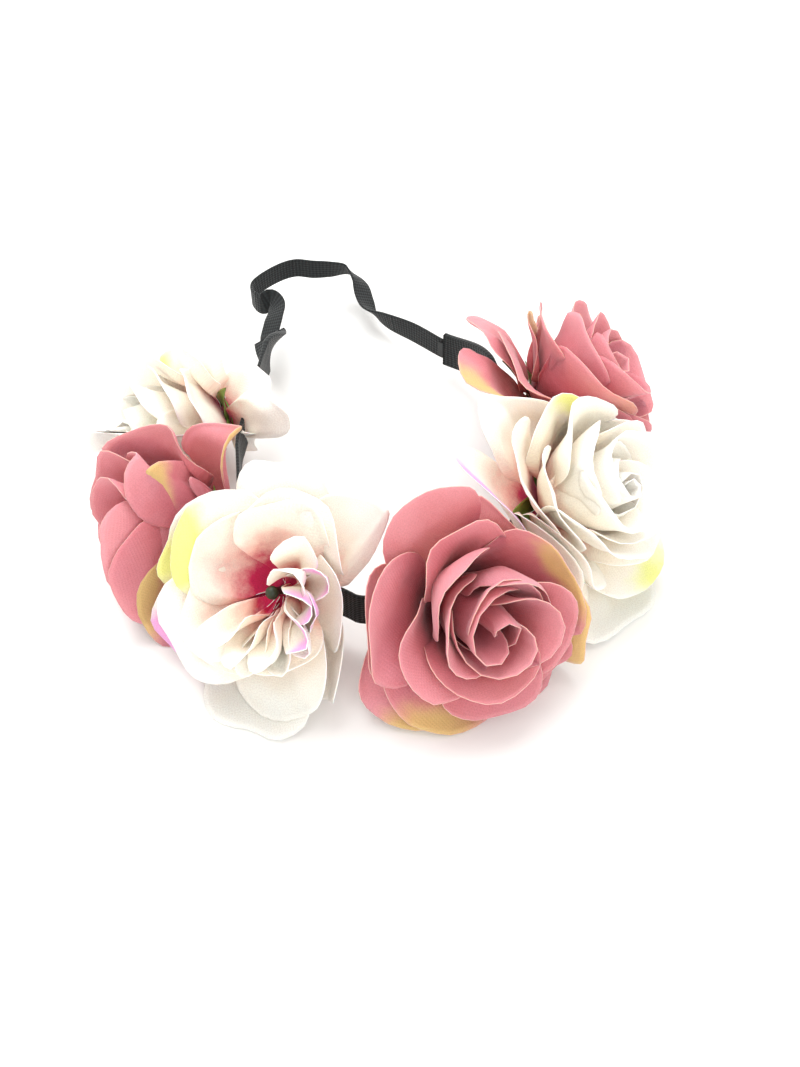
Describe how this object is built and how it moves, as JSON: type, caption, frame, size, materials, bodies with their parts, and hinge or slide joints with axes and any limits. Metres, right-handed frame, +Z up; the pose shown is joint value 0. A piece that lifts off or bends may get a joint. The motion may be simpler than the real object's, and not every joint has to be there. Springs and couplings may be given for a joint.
{
  "type": "flower crown",
  "caption": "Headband of large white and dusty rose cloth flowers on a black ribbon, closed at the back by a flat black elastic.",
  "frame": {"origin": "centre of the head opening, at the height of the table that the crown lies on", "axes": "+Z up out of the table and through the head opening, -Y towards the front flowers, +Y towards the elastic"},
  "size_m": [0.2212, 0.2492, 0.0801],
  "materials": {
    "ivory_cloth": "matte woven polyester",
    "rose_cloth": "matte woven polyester",
    "green_plastic": "moulded, matt",
    "peg_plastic": "moulded, matt",
    "hot_glue": "set hot glue, cloudy",
    "ribbon": "ribbed, matt",
    "elastic": "knitted, matt"
  },
  "bodies": {
    "ivory_front": {"ivory_front_ribbon": "ribbon", "ivory_front_glue": "hot_glue", "ivory_front_calyx": "green_plastic", "ivory_front_peg": "peg_plastic", "ivory_front_petals_1": "ivory_cloth", "ivory_front_petals_2": "ivory_cloth", "ivory_front_petals_3": "ivory_cloth", "ivory_front_petals_4": "ivory_cloth", "ivory_front_petals_5": "ivory_cloth"},
    "rose_left": {"rose_left_ribbon": "ribbon", "rose_left_glue": "hot_glue", "rose_left_calyx": "green_plastic", "rose_left_peg": "peg_plastic", "rose_left_petals_1": "rose_cloth", "rose_left_petals_2": "rose_cloth", "rose_left_petals_3": "rose_cloth", "rose_left_petals_4": "rose_cloth", "rose_left_petals_5": "rose_cloth"},
    "ivory_left": {"ivory_left_ribbon": "ribbon", "ivory_left_glue": "hot_glue", "ivory_left_calyx": "green_plastic", "ivory_left_peg": "peg_plastic", "ivory_left_petals_1": "ivory_cloth", "ivory_left_petals_2": "ivory_cloth", "ivory_left_petals_3": "ivory_cloth", "ivory_left_petals_4": "ivory_cloth", "ivory_left_petals_5": "ivory_cloth", "left_tab": "ribbon", "left_tab_glue": "hot_glue"},
    "rose_front": {"rose_front_ribbon": "ribbon", "rose_front_glue": "hot_glue", "rose_front_calyx": "green_plastic", "rose_front_peg": "peg_plastic", "rose_front_petals_1": "rose_cloth", "rose_front_petals_2": "rose_cloth", "rose_front_petals_3": "rose_cloth", "rose_front_petals_4": "rose_cloth", "rose_front_petals_5": "rose_cloth"},
    "ivory_right": {"ivory_right_ribbon": "ribbon", "ivory_right_glue": "hot_glue", "ivory_right_calyx": "green_plastic", "ivory_right_peg": "peg_plastic", "ivory_right_petals_1": "ivory_cloth", "ivory_right_petals_2": "ivory_cloth", "ivory_right_petals_3": "ivory_cloth", "ivory_right_petals_4": "ivory_cloth", "ivory_right_petals_5": "ivory_cloth"},
    "rose_right": {"rose_right_ribbon": "ribbon", "rose_right_glue": "hot_glue", "rose_right_calyx": "green_plastic", "rose_right_peg": "peg_plastic", "rose_right_petals_1": "rose_cloth", "rose_right_petals_2": "rose_cloth", "rose_right_petals_3": "rose_cloth", "rose_right_petals_4": "rose_cloth", "rose_right_petals_5": "rose_cloth", "right_tab": "ribbon", "right_tab_glue": "hot_glue", "elastic": "elastic"}
  },
  "joints": [
    {"name": "front_bend", "type": "hinge", "parent": "ivory_front", "child": "rose_front", "pos_m": [-0.008, -0.102, 0.022], "axis": [0, 0, -1], "range_deg": [0, 6], "stiffness_Nm_per_rad": 0.02},
    {"name": "left_front_bend", "type": "hinge", "parent": "ivory_front", "child": "rose_left", "pos_m": [-0.05477, -0.075, 0.022], "axis": [0, 0, 1], "range_deg": [0, 6]},
    {"name": "left_rear_bend", "type": "hinge", "parent": "rose_left", "child": "ivory_left", "pos_m": [-0.06041, -0.0213, 0.022], "axis": [0, 0, 1], "range_deg": [0, 6]},
    {"name": "right_front_bend", "type": "hinge", "parent": "rose_front", "child": "ivory_right", "pos_m": [0.04133, -0.08004, 0.022], "axis": [0, 0, -1], "range_deg": [0, 6]},
    {"name": "right_rear_bend", "type": "hinge", "parent": "ivory_right", "child": "rose_right", "pos_m": [0.06068, -0.02962, 0.022], "axis": [0, 0, -1], "range_deg": [0, 6]}
  ],
  "couplings": [
    {"joint": "left_front_bend", "follows": "front_bend", "ratio": 1},
    {"joint": "left_rear_bend", "follows": "front_bend", "ratio": 1},
    {"joint": "right_front_bend", "follows": "front_bend", "ratio": 1},
    {"joint": "right_rear_bend", "follows": "front_bend", "ratio": 1}
  ]
}
